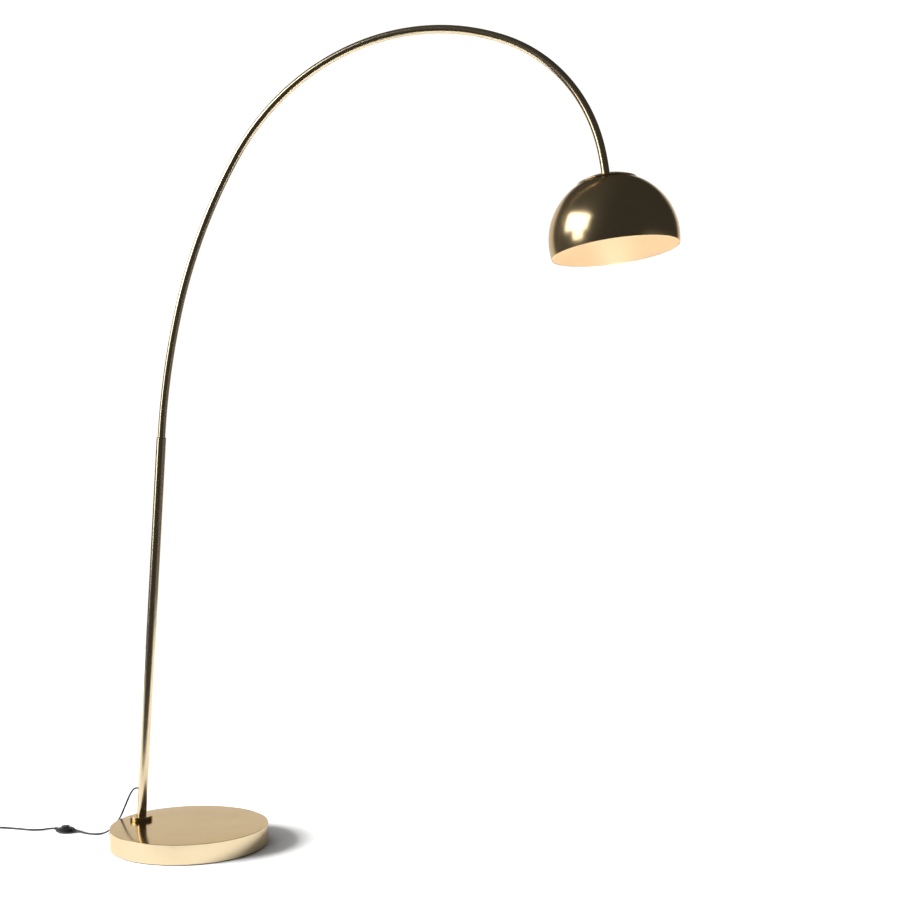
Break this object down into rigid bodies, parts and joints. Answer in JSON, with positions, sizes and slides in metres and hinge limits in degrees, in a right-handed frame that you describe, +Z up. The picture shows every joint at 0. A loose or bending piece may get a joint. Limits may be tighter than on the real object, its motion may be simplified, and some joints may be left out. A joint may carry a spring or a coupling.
{
  "type": "arc floor lamp",
  "caption": "Arc floor lamp: round weighted base, leaning pole, bent arc tube and a tilting dome shade, fed by a lead with a foot switch.",
  "frame": {"origin": "centre of the round base, on the surface it stands on", "axes": "+Z up, +X from the base towards the shade, the arc lies in the XZ plane"},
  "size_m": [1.9424, 0.4, 2.043],
  "materials": {
    "brass_finish": "satin brass plating, lightly brushed",
    "steel": "zinc plated",
    "cast_ballast": "cast mineral, rough",
    "pad_rubber": "matte foam rubber",
    "cord_rubber": "matte",
    "black_plastic": "fine texture",
    "shade_inside_white": "warm white enamel",
    "contact_brass": "stamped",
    "white_ceramic": "satin",
    "opal_glass": "opal"
  },
  "bodies": {
    "base": {"floor_pad": "pad_rubber", "base_plate": "steel", "ballast_disc": "cast_ballast", "base_cover": "brass_finish", "plate_screw_1": "steel", "plate_screw_2": "steel", "plate_screw_3": "steel", "pole_foot": "steel", "foot_washer": "steel", "foot_nut": "steel", "pole_collar": "brass_finish", "pole_tube": "brass_finish", "pole_guide_bush": "black_plastic", "guide_grub_screw": "steel", "lead_grommet": "cord_rubber", "lead_in_pole": "cord_rubber", "cord_to_switch": "cord_rubber", "switch_bottom_shell": "black_plastic", "switch_top_shell": "black_plastic", "switch_spring": "steel", "switch_terminal_block": "black_plastic", "switch_contact_blade": "contact_brass", "switch_relief_in": "cord_rubber", "switch_relief_out": "cord_rubber", "cord_to_coil": "cord_rubber", "cord_coil": "cord_rubber", "cord_tail": "cord_rubber", "plug_strain_relief": "cord_rubber", "plug_body": "black_plastic", "plug_pin_1": "steel", "plug_pin_2": "steel"},
    "switch_plunger": {"switch_button": "black_plastic"},
    "arc_foot": {"arc_foot_bush": "black_plastic"},
    "arc": {"arc_tube": "brass_finish", "lead_in_arc": "cord_rubber", "arc_end_fitting": "steel", "shade_cap": "brass_finish", "neck_sleeve": "steel", "seat_washer": "steel", "neck_lock_nut": "steel", "lampholder_cap": "white_ceramic", "lampholder_body": "white_ceramic", "lampholder_insulator": "white_ceramic", "lampholder_thread_shell": "contact_brass", "lampholder_contact": "contact_brass", "bulb_cap": "steel", "bulb_glass": "opal_glass"},
    "carrier": {"carrier_dish": "shade_inside_white", "friction_ring": "black_plastic"},
    "shade": {"shade_dome": "brass_finish"}
  },
  "joints": [
    {"name": "switch_press", "type": "slide", "parent": "base", "child": "switch_plunger", "axis": [0, 0, -1], "range_m": [0, 0.003], "stiffness_N_per_m": 1500, "deforming": ["switch_spring"]},
    {"name": "arc_height", "type": "slide", "parent": "base", "child": "arc_foot", "axis": [0.0541, 0, 0.9985], "range_m": [0, 0.15]},
    {"name": "arc_swivel", "type": "hinge", "parent": "arc_foot", "child": "arc", "pos_m": [-0.1448, 0, 0.05], "axis": [0.0541, 0, 0.9985], "range_deg": [-45, 45]},
    {"name": "shade_turn", "type": "hinge", "parent": "arc", "child": "carrier", "pos_m": [1.11699, 0, 1.48707], "axis": [-0.1245, 0, 0.9922], "continuous": true},
    {"name": "shade_tilt", "type": "hinge", "parent": "carrier", "child": "shade", "pos_m": [1.11699, 0, 1.48707], "axis": [0, 1, 0], "range_deg": [-10, 10]}
  ]
}
